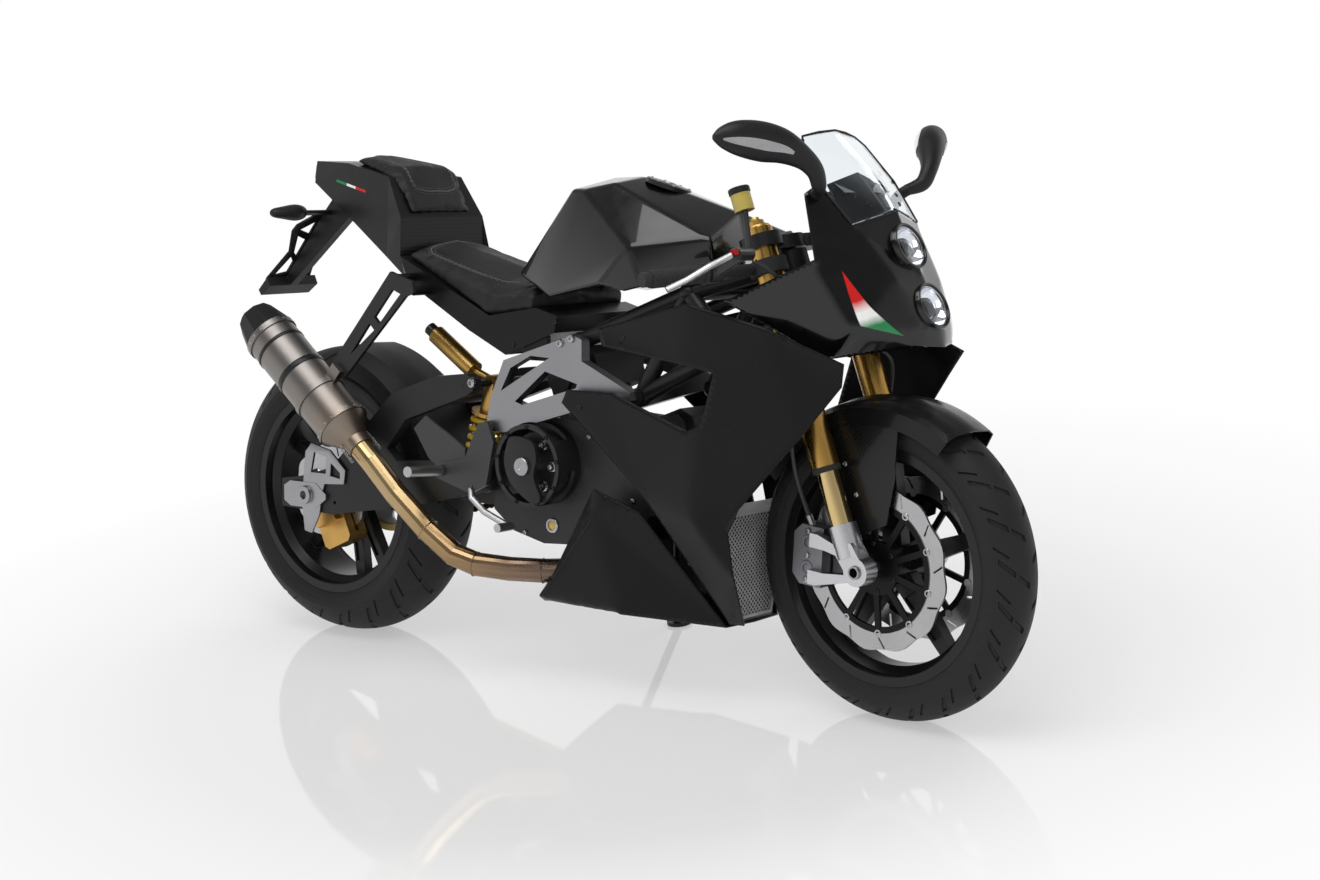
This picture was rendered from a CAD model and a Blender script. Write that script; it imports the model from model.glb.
import math

import bmesh
import bpy
from mathutils import Matrix, Vector
from mathutils.bvhtree import BVHTree
from mathutils.geometry import tessellate_polygon


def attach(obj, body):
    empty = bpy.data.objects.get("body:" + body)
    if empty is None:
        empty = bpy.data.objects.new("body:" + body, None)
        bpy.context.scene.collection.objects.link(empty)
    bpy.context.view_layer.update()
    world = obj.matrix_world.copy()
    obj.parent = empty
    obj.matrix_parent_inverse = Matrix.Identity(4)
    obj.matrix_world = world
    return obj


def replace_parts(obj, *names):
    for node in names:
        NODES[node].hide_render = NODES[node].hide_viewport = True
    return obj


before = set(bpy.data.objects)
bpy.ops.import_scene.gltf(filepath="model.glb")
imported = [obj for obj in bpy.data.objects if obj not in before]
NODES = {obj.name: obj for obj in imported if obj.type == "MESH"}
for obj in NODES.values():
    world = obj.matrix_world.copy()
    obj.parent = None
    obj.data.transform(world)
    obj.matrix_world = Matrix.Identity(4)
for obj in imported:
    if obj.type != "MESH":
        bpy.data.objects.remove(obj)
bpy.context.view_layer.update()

SCENE = bpy.context.scene
MM = 0.001

# Stance of the parked motorcycle (metres, degrees): lean about X and shift, then the steered fork
LEAN = 10.0
PARK = Vector((0.010, -0.165, 0.001595))
FRONT_X, REAR_X = 0.7125, -0.7125
FRONT_R, REAR_R = 0.300, 0.320
RAKE, STEER_REST, AXIS_BACK = 20.0, 5.5, 0.040
# Muffler: foot of its axis, and tilt to the rear
CAN_FOOT, CAN_TILT = (-0.490, -0.207, 0.444), 50.4

BIKE = Matrix.Translation(PARK) @ Matrix.Rotation(math.radians(-LEAN), 4, "X")
FORK = (
    BIKE
    @ Matrix.Translation((FRONT_X, 0, FRONT_R))
    @ Matrix.Rotation(math.radians(-RAKE), 4, "Y")
    @ Matrix.Translation((-AXIS_BACK, 0, 0))
    @ Matrix.Rotation(math.radians(-STEER_REST), 4, "Z")
    @ Matrix.Translation((AXIS_BACK, 0, 0))
)
REAR_HUB = BIKE @ Matrix.Translation((REAR_X, 0, REAR_R))
CAN = BIKE @ Matrix.Translation(CAN_FOOT) @ Matrix.Rotation(math.radians(-CAN_TILT), 4, "Y")
MIRROR_Y = Matrix.Diagonal((1, -1, 1, 1))

# Photograph: size and principal point in pixels, camera in the upright bike's frame
IMAGE_W, IMAGE_H = 1320, 880
CAM_AZIMUTH, CAM_ELEVATION = 39.0, 6.31
CAM_DISTANCE, CAM_TARGET_Z = 4.811, 0.5
FOCAL_PX = 2342.0
CENTRE_PX = (602.3, 429.6)
SENSOR = 36.0


def camera_matrix():
    a, e = math.radians(CAM_AZIMUTH), math.radians(CAM_ELEVATION)
    back = Vector((math.sin(a) * math.cos(e), -math.cos(a) * math.cos(e), math.sin(e)))
    place = Matrix.Translation(Vector((0, 0, CAM_TARGET_Z)) + back * CAM_DISTANCE)
    return BIKE @ place @ (-back).to_track_quat("-Z", "Y").to_matrix().to_4x4()


CAMERA = camera_matrix()


def make_camera():
    data = bpy.data.cameras.new("camera")
    data.sensor_width = SENSOR
    data.sensor_fit = "HORIZONTAL"
    data.lens = SENSOR * FOCAL_PX / IMAGE_W
    data.shift_x = (IMAGE_W / 2 - CENTRE_PX[0]) / IMAGE_W
    data.shift_y = (CENTRE_PX[1] - IMAGE_H / 2) / IMAGE_W
    cam = bpy.data.objects.new("camera", data)
    SCENE.collection.objects.link(cam)
    cam.matrix_world = CAMERA
    SCENE.camera = cam


TREES = {}


def tree_of(node):
    """Ray-cast tree of a CAD node or a mesh piece, in the row frame at rest."""
    obj = NODES[node] if isinstance(node, str) else node
    if obj.name not in TREES:
        mesh = obj.data
        TREES[obj.name] = BVHTree.FromPolygons(
            [obj.matrix_world @ v.co for v in mesh.vertices], [p.vertices[:] for p in mesh.polygons]
        )
    return TREES[obj.name]


def seen(node, px, py):
    """Point and outward normal of a node under a pixel of the photograph."""
    ray = Vector(((px - CENTRE_PX[0]) / FOCAL_PX, (CENTRE_PX[1] - py) / FOCAL_PX, -1)).normalized()
    eye = CAMERA.translation
    way = CAMERA.to_3x3() @ ray
    point, normal, _, _ = tree_of(node).ray_cast(eye, way)
    if point is None:
        point, normal, _, _ = tree_of(node).find_nearest(eye + way * CAM_DISTANCE)
    if normal.dot(way) > 0:
        normal = -normal
    return point, normal


# Meshes


def added(name, mesh, mat, body="chassis"):
    """New object with a finish that rides on a body."""
    obj = bpy.data.objects.new(name, mesh)
    SCENE.collection.objects.link(obj)
    mesh.materials.clear()
    mesh.materials.append(MATS[mat])
    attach(obj, body)
    return obj


def piece(name, part, mat, body="chassis", place=None, smooth=True, sharp=35.0):
    """Object of a part, which is a vertex and a face list in the row frame."""
    verts, faces = part
    mesh = bpy.data.meshes.new(name)
    mesh.from_pydata([tuple(v) for v in verts], [], faces)
    if place is not None:
        mesh.transform(place)
    mesh.validate()
    work = bmesh.new()
    work.from_mesh(mesh)
    bmesh.ops.recalc_face_normals(work, faces=work.faces)
    work.to_mesh(mesh)
    work.free()
    if smooth:
        mesh.shade_smooth()
        mesh.set_sharp_from_angle(angle=math.radians(sharp))
    return added(name, mesh, mat, body)


def joined(parts):
    """One vertex and face list from several."""
    verts, faces = [], []
    for v, f in parts:
        n = len(verts)
        verts += list(v)
        faces += [tuple(i + n for i in q) for q in f]
    return verts, faces


def moved(part, matrix):
    verts, faces = part
    out = [matrix @ Vector(v) for v in verts]
    return out, [tuple(reversed(f)) for f in faces] if matrix.determinant() < 0 else faces


def circle(n):
    """Cosine and sine at n steps of a turn."""
    return [(math.cos(math.tau * k / n), math.sin(math.tau * k / n)) for k in range(n)]


def tube_faces(rows, n, closed=False):
    """Faces between rows of n points round a tube."""
    faces = []
    for i in range(rows if closed else rows - 1):
        j = (i + 1) % rows
        faces += [(i * n + k, i * n + (k + 1) % n, j * n + (k + 1) % n, j * n + k) for k in range(n)]
    return faces


def lathe(profile, n, closed=False):
    """Profile of (radius, height) in millimetres turned about Z; an open one gets flat ends."""
    m = len(profile)
    verts = [(r * MM * c, r * MM * s, z * MM) for c, s in circle(n) for r, z in profile]
    faces = []
    for i in range(n):
        a, b = i * m, (i + 1) % n * m
        faces += [(a + k, b + k, b + (k + 1) % m, a + (k + 1) % m) for k in range(m if closed else m - 1)]
    if not closed:
        faces += [tuple(i * m for i in reversed(range(n))), tuple(i * m + m - 1 for i in range(n))]
    return verts, faces


def ring(profile, n):
    """Closed profile of (radius, height) turned about Z."""
    return lathe(profile, n, closed=True)


def swept(path, radius, n=10, closed=False):
    """Round tube along points, with flat ends; radius may be a list."""
    pts = [Vector(p) for p in path]
    count = len(pts)
    radii = radius if isinstance(radius, list) else [radius] * count
    verts = []
    side = None
    for i, p in enumerate(pts):
        ahead = pts[(i + 1) % count] if closed else pts[min(i + 1, count - 1)]
        behind = pts[i - 1] if closed or i else pts[0]
        t = (ahead - behind).normalized()
        if side is None:
            side = t.orthogonal()
        side = (side - t * side.dot(t)).normalized()
        other = t.cross(side)
        verts += [p + radii[i] * (c * side + s * other) for c, s in circle(n)]
    faces = tube_faces(count, n, closed)
    if not closed:
        faces += [tuple(reversed(range(n))), tuple((count - 1) * n + k for k in range(n))]
    return verts, faces


def smooth_path(points, steps=8):
    """Catmull-Rom curve through points."""
    pts = [Vector(p) for p in points]
    out = []
    for i in range(len(pts) - 1):
        a, b, c, d = pts[max(i - 1, 0)], pts[i], pts[i + 1], pts[min(i + 2, len(pts) - 1)]
        for k in range(steps):
            t = k / steps
            out.append(
                0.5 * (2 * b + (c - a) * t + (2 * a - 5 * b + 4 * c - d) * t**2 + (3 * b - a - 3 * c + d) * t**3)
            )
    return out + [pts[-1]]


def facing(point, normal):
    """Matrix that puts Z along a normal at a point."""
    return Matrix.Translation(point) @ Vector(normal).to_track_quat("Z", "Y").to_matrix().to_4x4()


# Screw heads: points round each, and shares of radius and height down the head and into its socket
SCREW_SIDES = 12
SCREW_HEAD = ((1, -0.4), (1, 0.35), (0.86, 0.8), (0.62, 1))
SCREW_SOCKET = ((0.44, 1), (0.44, 0.35))


def screw(r, h):
    """Button head with a hexagon socket, base at z = 0 and sunk a little below it."""
    n = SCREW_SIDES
    verts = [(a * r * c, a * r * s, b * h) for a, b in SCREW_HEAD for c, s in circle(n)]
    for a, b in SCREW_SOCKET:
        for k, (c, s) in enumerate(circle(n)):
            flat = a * r / math.cos((math.tau * k / n + math.pi / 6) % (math.pi / 3) - math.pi / 6)
            verts.append((flat * c, flat * s, b * h))
    last = len(verts) - n
    ends = [tuple(reversed(range(n))), tuple(range(last, last + n))]
    return verts, ends[:1] + tube_faces(len(verts) // n, n) + ends[1:]


def put(part, places):
    """Copies of a part with Z along the normal at each (point, normal) place."""
    return joined(moved(part, facing(p, n)) for p, n in places)


def screws(name, places, size, mat, body="chassis"):
    """Screw heads of a radius and height at places, as one mesh."""
    return piece(name, put(screw(*size), places), mat, body)


def flipped(place):
    """Mirror across the centre plane of a frame."""
    return place @ MIRROR_Y @ place.inverted()


def on_both(node, pixels, place=BIKE):
    """Places of a node under pixels of the photograph, each with its image on the other side."""
    flip = flipped(place)
    out = []
    for px, py in pixels:
        p, n = seen(node, px, py)
        out += [(p, n), (flip @ p, (flip.to_3x3() @ n).normalized())]
    return out


# Materials


class Nodes:
    """Shader tree; a value that is a socket is linked, anything else is set."""

    def __init__(self, tree):
        self.tree = tree
        self.local = {}

    def set(self, node, values):
        for key, value in values.items():
            socket = node.inputs[key]
            if isinstance(value, bpy.types.NodeSocket):
                self.tree.links.new(value, socket)
            elif isinstance(value, tuple) and socket.type == "RGBA" and len(value) == 3:
                socket.default_value = (*value, 1)
            else:
                socket.default_value = value

    def node(self, kind, inputs=None, **props):
        n = self.tree.nodes.new("ShaderNode" + kind)
        for key, value in props.items():
            setattr(n, key, value)
        self.set(n, inputs or {})
        return n

    def math(self, op, *args):
        return self.node("Math", dict(enumerate(args)), operation=op).outputs[0]

    def times(self, a, b):
        return self.math("MULTIPLY", a, b)

    def plus(self, a, b):
        return self.math("ADD", a, b)

    def rest(self, a):
        return self.math("SUBTRACT", 1.0, a)

    def coords(self, place=None):
        """Object coordinates, in the frame of a placing matrix where one is given."""
        key = str(place)
        if key not in self.local:
            vec = self.node("TexCoord").outputs["Object"]
            if place is not None:
                turn = place.to_euler()
                vec = self.node(
                    "Mapping",
                    {"Vector": vec, "Location": place.translation[:], "Rotation": turn[:]},
                    vector_type="TEXTURE",
                ).outputs[0]
            self.local[key] = vec
        return self.local[key]

    def axis(self, k, place=None):
        key = (k, str(place))
        if key not in self.local:
            self.local[key] = self.node("SeparateXYZ", {0: self.coords(place)}).outputs[k]
        return self.local[key]

    def radius(self, place):
        """Distance from a frame's Y axis."""
        x, z = self.axis(0, place), self.axis(2, place)
        return self.math("SQRT", self.plus(self.times(x, x), self.times(z, z)))

    def scaled(self, scale, place=None):
        return self.node("Mapping", {"Vector": self.coords(place), "Scale": scale}).outputs[0]

    def noise(self, scale, detail=3.0, vector=None, rough=0.55):
        values = {"Scale": scale, "Detail": detail, "Roughness": rough}
        values["Vector"] = vector or self.coords()
        return self.node("TexNoise", values).outputs["Fac"]

    def band(self, value, low, high, out_low=0.0, out_high=1.0):
        """Value mapped from one range to another and held at its ends."""
        values = {"Value": value, 1: low, 2: high, 3: out_low, 4: out_high}
        return self.node("MapRange", values).outputs[0]

    def spread(self, noise, low=0.0, high=1.0):
        """Two levels between the usual ends of a noise."""
        return self.band(noise, 0.3, 0.7, low, high)

    def step(self, value, at, soft=0.0004):
        return self.band(value, at - soft, at + soft)

    def mix(self, fac, a, b):
        return self.node("Mix", {0: fac, 6: a, 7: b}, data_type="RGBA").outputs[2]

    def ramp(self, fac, stops):
        n = self.node("ValToRGB", {0: fac})
        el = n.color_ramp.elements
        while len(el) < len(stops):
            el.new(1.0)
        for e, (pos, col) in zip(el, stops):
            e.position = pos
            e.color = (*col, 1)
        return n.outputs[0]

    def bump(self, height, distance, strength=1.0, normal=None):
        values = {"Height": height, "Distance": distance, "Strength": strength}
        if normal:
            values["Normal"] = normal
        return self.node("Bump", values).outputs[0]

    def looked(self):
        """1 for rays that show a surface to the camera, straight, mirrored or through glass."""
        path = self.node("LightPath").outputs
        kept = self.math("MAXIMUM", path["Is Glossy Ray"], path["Is Transmission Ray"])
        return self.math("MAXIMUM", path["Is Camera Ray"], kept)


class Shader(Nodes):
    """Node material around one principled shader."""

    def __init__(self, name, color, rough, metal=0.0, **extra):
        self.mat = bpy.data.materials.new(name)
        self.mat.use_nodes = True
        super().__init__(self.mat.node_tree)
        self.out = self.tree.nodes["Principled BSDF"]
        self.set(self.out, {"Base Color": color, "Roughness": rough, "Metallic": metal})
        self.finish(**extra)

    def finish(self, **values):
        self.set(self.out, {k.replace("_", " "): v for k, v in values.items()})
        return self.mat


def varied(name, color, rough, metal=0.0, grain=900.0, depth=0.00005, spread=0.25, **extra):
    """Plain finish with fine grain, uneven gloss and slight colour drift."""
    s = Shader(name, color, rough, metal, **extra)
    drift = s.noise(7.0, 4.0)
    fine = s.noise(grain, 2.0)
    low = tuple(c * (1 - spread) for c in color)
    high = tuple(min(1.0, c * (1 + spread)) for c in color)
    return s.finish(
        Base_Color=s.mix(s.spread(drift), low, high),
        Roughness=s.band(s.plus(drift, fine), 0.7, 1.4, rough * 0.8, min(1.0, rough * 1.25)),
        Normal=s.bump(fine, depth),
    )


def brushed(name, color, rough, way, place=None, spread=0.12, depth=0.00003, **extra):
    """Metal with fine lines; way holds the scales of the noise along X, Y and Z."""
    s = Shader(name, color, rough, 1.0, **extra)
    lines = s.noise(1.0, 4.0, s.scaled(way, place), 0.65)
    cloud = s.noise(9.0, 3.0)
    low = tuple(c * (1 - spread) for c in color)
    return s.finish(
        Base_Color=s.mix(s.band(s.plus(lines, cloud), 0.7, 1.3), low, color),
        Roughness=s.spread(lines, rough * 0.75, rough * 1.3),
        Normal=s.bump(lines, depth),
    )


# Width of a carbon tow
TOW = 0.0021


def carbon(name, dark, light, rough, coat, shine, stripes=None):
    """Twill weave of carbon tows under a clear finish."""
    s = Shader(name, dark, rough, 0.0, Coat_Weight=coat, Coat_Roughness=0.10, Specular_IOR_Level=shine)
    y = s.axis(1, BIKE)
    u = s.math("DIVIDE", s.plus(s.axis(0, BIKE), s.times(y, 0.7)), TOW)
    v = s.math("DIVIDE", s.plus(s.axis(2, BIKE), s.times(y, 0.7)), TOW)
    cell = s.math("SUBTRACT", s.math("FLOOR", u), s.math("FLOOR", v))
    warp = s.math("LESS_THAN", s.math("FLOORED_MODULO", cell, 4.0), 1.5)
    across = s.plus(s.times(warp, s.math("PINGPONG", v, 0.5)), s.times(s.rest(warp), s.math("PINGPONG", u, 0.5)))
    fibre = s.noise(1.0, 2.0, s.scaled((2600, 900, 2600)))
    tone = s.plus(s.times(warp, 0.75), s.times(fibre, 0.25))
    haze = s.noise(5.0, 3.0)
    base = s.mix(tone, dark, light)
    return s.finish(
        Base_Color=stripes(s, base) if stripes else base,
        Roughness=s.band(s.plus(haze, s.times(warp, 0.2)), 0.35, 0.85, rough * 0.85, rough * 1.2),
        Normal=s.bump(across, 0.00012, 0.5),
    )


def gloss_paint(name, color, stripes=None):
    """Lacquer with orange peel and faint swirls."""
    s = Shader(name, color, 0.22, 0.0, Coat_Weight=0.8, Coat_Roughness=0.03, Coat_IOR=1.42, Specular_IOR_Level=0.2)
    peel = s.noise(320.0, 1.0)
    swirl = s.noise(28.0, 5.0)
    low = tuple(c * 0.6 for c in color)
    base = s.mix(s.spread(swirl), low, color)
    return s.finish(
        Base_Color=stripes(s, base) if stripes else base,
        Roughness=s.spread(swirl, 0.16, 0.28),
        Normal=s.bump(peel, 0.00002, 0.35),
    )


def inside(s, corners):
    """1 within a convex outline in the upright bike's X and Z, on either side."""
    x, z = s.axis(0, BIKE), s.axis(2, BIKE)
    centre = sum((Vector(c) for c in corners), Vector((0, 0))) / len(corners)
    fac = None
    for a, b in zip(corners, corners[1:] + corners[:1]):
        n = Vector((b[1] - a[1], a[0] - b[0])).normalized()
        if (centre - Vector(a)).dot(n) < 0:
            n = -n
        off = Vector(a).dot(n)
        d = s.plus(s.times(x, n.x), s.times(z, n.y))
        hit = s.step(d, off, 0.0003)
        fac = hit if fac is None else s.times(fac, hit)
    return fac


RED, WHITE, GREEN = (0.55, 0.012, 0.010), (0.85, 0.85, 0.83), (0.010, 0.20, 0.055)


def along(s, a, b):
    """0 at a to 1 at b, in the upright bike's X and Z."""
    d = Vector(b) - Vector(a)
    x = s.times(s.math("SUBTRACT", s.axis(0, BIKE), a[0]), d.x / d.length_squared)
    z = s.times(s.math("SUBTRACT", s.axis(2, BIKE), a[1]), d.y / d.length_squared)
    return s.plus(x, z)


def flat_of(node, px, py):
    """X and Z of the upright bike at a node's point under a pixel."""
    p = BIKE.inverted() @ seen(node, px, py)[0]
    return (p.x, p.z)


# Outline of the nose's tricolour and the ends of its run, then the ends of the tail's and its half width
NOSE_FLAG = ((842, 271), (904, 336), (860, 326), (848, 292))
NOSE_RUN = ((846, 276), (884, 331))
NOSE_FLAG_Y = 0.075
TAIL_RUN, TAIL_HALF = ((336.5, 180.5), (365.5, 191.5)), 0.0028


def nose_stripes(s, base):
    """Soft tricolour on both flanks of the nose."""
    corners = [flat_of("nose_fairing", *p) for p in NOSE_FLAG]
    top, low = (flat_of("nose_fairing", *p) for p in NOSE_RUN)
    soft = s.plus(along(s, top, low), s.times(s.noise(60.0, 2.0), 0.06))
    flag = s.ramp(soft, ((0.0, RED), (0.46, RED), (0.66, WHITE), (0.76, WHITE), (0.90, GREEN), (1.0, GREEN)))
    side = s.step(s.math("ABSOLUTE", s.axis(1, BIKE)), NOSE_FLAG_Y)
    return s.mix(s.times(inside(s, corners), side), base, flag)


def tail_stripes(s, base):
    """Thin tricolour dash on the tail's flanks."""
    a, b = (Vector(flat_of("tail_unit", *p)) for p in TAIL_RUN)
    side = Vector((a.y - b.y, b.x - a.x)).normalized() * TAIL_HALF
    t = along(s, a, b)
    flag = s.mix(s.step(t, 0.36, 0.01), GREEN, s.mix(s.step(t, 0.66, 0.01), WHITE, RED))
    return s.mix(inside(s, [a + side, b + side, b - side, a - side]), base, flag)


def make_materials():
    return {
        "carbon": carbon("carbon_matt", (0.0026, 0.0026, 0.0028), (0.0075, 0.0076, 0.0080), 0.34, 0.0, 0.16),
        "carbon_gloss": carbon("carbon_gloss", (0.0026, 0.0026, 0.0028), (0.0080, 0.0081, 0.0085), 0.30, 0.25, 0.20),
        "gloss": gloss_paint("gloss_black", (0.0035, 0.0035, 0.0038)),
        "nose": gloss_paint("nose_paint", (0.0035, 0.0035, 0.0038), nose_stripes),
        "tail": carbon(
            "carbon_tail", (0.0024, 0.0024, 0.0026), (0.0070, 0.0071, 0.0075), 0.32, 0.06, 0.16, tail_stripes
        ),
        "frame": varied("frame_black", (0.011, 0.011, 0.012), 0.36, 0.0, 700.0, 0.00006, Specular_IOR_Level=0.30),
        "black_metal": varied(
            "black_metal", (0.011, 0.011, 0.012), 0.38, 0.0, 1100.0, 0.00004, Specular_IOR_Level=0.32
        ),
        "plastic": varied("black_plastic", (0.010, 0.010, 0.0105), 0.46, 0.0, 1600.0, 0.00008, Specular_IOR_Level=0.26),
        "engine": varied("cast_grey", (0.040, 0.040, 0.043), 0.48, 0.6, 520.0, 0.00025),
        "cover": varied("cover_black", (0.016, 0.016, 0.017), 0.40, 0.3, 600.0, 0.00012),
        "billet": brushed("billet", (0.30, 0.30, 0.315), 0.38, (60, 60, 1400), BIKE),
        "silver": brushed("machined_silver", (0.36, 0.36, 0.375), 0.34, (500, 60, 500), BIKE),
        "steel": varied("bolt_steel", (0.42, 0.42, 0.43), 0.28, 1.0, 1500.0, 0.00003),
        "black_bolt": varied("bolt_black", (0.035, 0.035, 0.037), 0.35, 0.8, 1500.0, 0.00003),
        "gold": brushed("gold_anodised", (0.56, 0.33, 0.085), 0.27, (900, 900, 30), FORK, Coat_Weight=0.15),
        "gold_part": varied("gold_cast", (0.52, 0.31, 0.09), 0.34, 0.9, 800.0, 0.00008),
        "fork_legs": fork_leg_material(),
        "spring": varied("spring_yellow", (0.72, 0.47, 0.015), 0.28, 0.0, 300.0, 0.00004, Coat_Weight=0.6),
        "titanium": can_material(),
        "pipe": pipe_material(),
        "caliper": varied("caliper_grey", (0.21, 0.21, 0.225), 0.42, 0.9, 900.0, 0.00010),
        "chain": varied("chain_gold", (0.46, 0.34, 0.13), 0.34, 1.0, 400.0, 0.00010),
        "wheel": varied("wheel_black", (0.008, 0.008, 0.0085), 0.32, 0.0, 1200.0, 0.00004, Specular_IOR_Level=0.30),
        "tyre": varied("tyre_rubber", (0.013, 0.013, 0.0135), 0.62, 0.0, 700.0, 0.00012, Specular_IOR_Level=0.30),
        "front_disc": disc_material("front_disc", FORK, 0.1235),
        "rear_disc": disc_material("rear_disc", REAR_HUB, 0.030),
        "radiator": brushed("radiator", (0.10, 0.10, 0.105), 0.40, (40, 40, 900), BIKE),
        "leather": leather_material(),
        "suede": varied("suede", (0.030, 0.029, 0.028), 0.90, 0.0, 2200.0, 0.0003, Sheen_Weight=0.35),
        "thread": varied("thread", (0.12, 0.12, 0.12), 0.70, 0.0, 3000.0, 0.0001),
        "screen": glass("screen_clear", (0.86, 0.90, 0.93), 0.02),
        "lens": glass("lens_clear", (0.95, 0.97, 1.0), 0.01),
        "amber": glass("lens_amber", (0.95, 0.45, 0.08), 0.08),
        "red_lens": varied("lens_red", (0.22, 0.005, 0.005), 0.12, 0.0, 90.0, 0.0002, Coat_Weight=0.6),
        "rear_lamps": rear_lamp_material(),
        "shock": shock_material(),
        "chrome": varied("reflector", (0.75, 0.76, 0.78), 0.08, 1.0, 60.0, 0.00005, 0.08),
        "mesh": varied("guard_mesh", (0.46, 0.46, 0.47), 0.5, 0.0, 900.0, 0.00005),
        "lamp_strip": varied("lamp_strip", (0.30, 0.30, 0.31), 0.22, 0.7, 90.0, 0.0004, 0.4),
        "yellow_fluid": varied("fluid_yellow", (0.62, 0.40, 0.03), 0.22, 0.0, 50.0, 0.00005, Coat_Weight=0.8),
        "hose": varied("hose", (0.018, 0.018, 0.018), 0.42, 0.0, 1800.0, 0.0001),
        "grip": varied("grip_rubber", (0.018, 0.018, 0.018), 0.78, 0.0, 1400.0, 0.0002),
        "red": varied("anodised_red", (0.40, 0.02, 0.02), 0.30, 0.9, 900.0, 0.00004),
        "controls": control_material(),
        "rearsets": rearset_material(),
    }


def glass(name, color, rough):
    """Clear or tinted glass with faint smears."""
    s = Shader(name, color, rough, 0.0, Transmission_Weight=1.0, IOR=1.22, Specular_IOR_Level=0.5)
    smear = s.noise(16.0, 4.0)
    return s.finish(Roughness=s.band(smear, 0.35, 0.75, rough * 0.5, rough * 2.0), Normal=s.bump(smear, 0.00002, 0.2))


def fork_leg_material():
    """Pale gold stanchions above the silver feet."""
    s = Shader("fork_legs", (0.6, 0.6, 0.62), 0.22, 1.0)
    upper = s.step(s.axis(2, FORK), 0.0925)
    lines = s.noise(1.0, 3.0, s.scaled((300, 300, 1600), FORK))
    cast = s.noise(700.0, 2.0)
    return s.finish(
        Base_Color=s.mix(upper, s.mix(cast, (0.50, 0.50, 0.52), (0.64, 0.64, 0.66)), (0.62, 0.47, 0.22)),
        Roughness=s.mix(upper, s.spread(cast, 0.24, 0.40), s.spread(lines, 0.08, 0.16)),
        Normal=s.bump(s.times(cast, s.rest(upper)), 0.00006),
    )


def disc_material(name, hub, hat_r):
    """Ground steel with turned lines, and a black hat inside a radius."""
    s = Shader(name, (0.5, 0.5, 0.51), 0.3, 1.0)
    r = s.radius(hub)
    turned = s.node("TexNoise", {"W": r, "Scale": 2600.0, "Detail": 3.0}, noise_dimensions="1D").outputs[0]
    heat = s.noise(14.0, 3.0)
    hat = s.rest(s.step(r, hat_r))
    steel = s.mix(s.band(heat, 0.35, 0.7), (0.34, 0.34, 0.35), (0.42, 0.415, 0.41))
    return s.finish(
        Base_Color=s.mix(hat, s.mix(turned, steel, (0.48, 0.48, 0.49)), (0.020, 0.020, 0.021)),
        Roughness=s.mix(hat, s.spread(turned, 0.20, 0.38), s.spread(heat, 0.36, 0.46)),
        Normal=s.bump(s.times(turned, s.rest(hat)), 0.00003),
    )


def can_material():
    """Brushed titanium can with heat tint by the inlet."""
    s = Shader("titanium", (0.42, 0.41, 0.40), 0.3, 1.0)
    z = s.axis(2, CAN)
    lines = s.noise(1.0, 4.0, s.scaled((40, 40, 1800), CAN))
    cloud = s.noise(11.0, 4.0)
    place = s.plus(z, s.times(cloud, 0.03))
    tint = s.ramp(
        s.band(place, 0.0, 0.40),
        (
            (0.0, (0.25, 0.18, 0.12)),
            (0.18, (0.24, 0.195, 0.155)),
            (0.42, (0.21, 0.19, 0.175)),
            (1.0, (0.22, 0.205, 0.195)),
        ),
    )
    return s.finish(
        Base_Color=s.mix(s.times(lines, 0.30), tint, (0.33, 0.31, 0.295)),
        Roughness=s.spread(lines, 0.32, 0.46),
        Normal=s.bump(lines, 0.00002),
    )


def pipe_material():
    """Steel pipe tinted straw to brown along its run, with rippled heat bands."""
    s = Shader("exhaust_pipe", (0.35, 0.25, 0.15), 0.28, 1.0)
    wave = s.noise(18.0, 3.0)
    place = s.plus(s.axis(0, BIKE), s.times(wave, 0.06))
    tint = s.ramp(
        s.band(place, -0.52, 0.05),
        (
            (0.0, (0.42, 0.30, 0.15)),
            (0.25, (0.46, 0.34, 0.18)),
            (0.50, (0.36, 0.24, 0.12)),
            (0.75, (0.24, 0.16, 0.11)),
            (1.0, (0.12, 0.09, 0.08)),
        ),
    )
    return s.finish(
        Base_Color=tint,
        Roughness=s.spread(wave, 0.24, 0.32),
        Normal=s.bump(wave, 0.0002, 0.2),
    )


def leather_material():
    """Black leather with fine grain and soft folds."""
    s = Shader("leather", (0.012, 0.012, 0.0125), 0.55, 0.0, Specular_IOR_Level=0.26)
    cells = s.node("TexVoronoi", {"Vector": s.coords(), "Scale": 620.0}, feature="DISTANCE_TO_EDGE").outputs[0]
    folds = s.noise(34.0, 5.0)
    return s.finish(
        Base_Color=s.mix(s.band(folds, 0.3, 0.75), (0.008, 0.008, 0.0085), (0.018, 0.0178, 0.0178)),
        Roughness=s.spread(folds, 0.46, 0.64),
        Normal=s.bump(cells, 0.00035, 0.6, s.bump(folds, 0.0006, 0.35)),
    )


def rear_lamp_material():
    """Red tail lamp above black indicators."""
    s = Shader("rear_lamps", (0.2, 0.005, 0.005), 0.14, 0.0, Coat_Weight=0.4)
    grain = s.noise(900.0, 2.0)
    lamp = s.step(s.axis(2, BIKE), 0.980)
    return s.finish(
        Base_Color=s.mix(lamp, s.mix(grain, (0.008, 0.008, 0.0085), (0.014, 0.014, 0.0145)), (0.22, 0.005, 0.005)),
        Roughness=s.mix(lamp, s.spread(grain, 0.34, 0.50), s.spread(grain, 0.08, 0.16)),
        Normal=s.bump(grain, 0.00004),
    )


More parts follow.
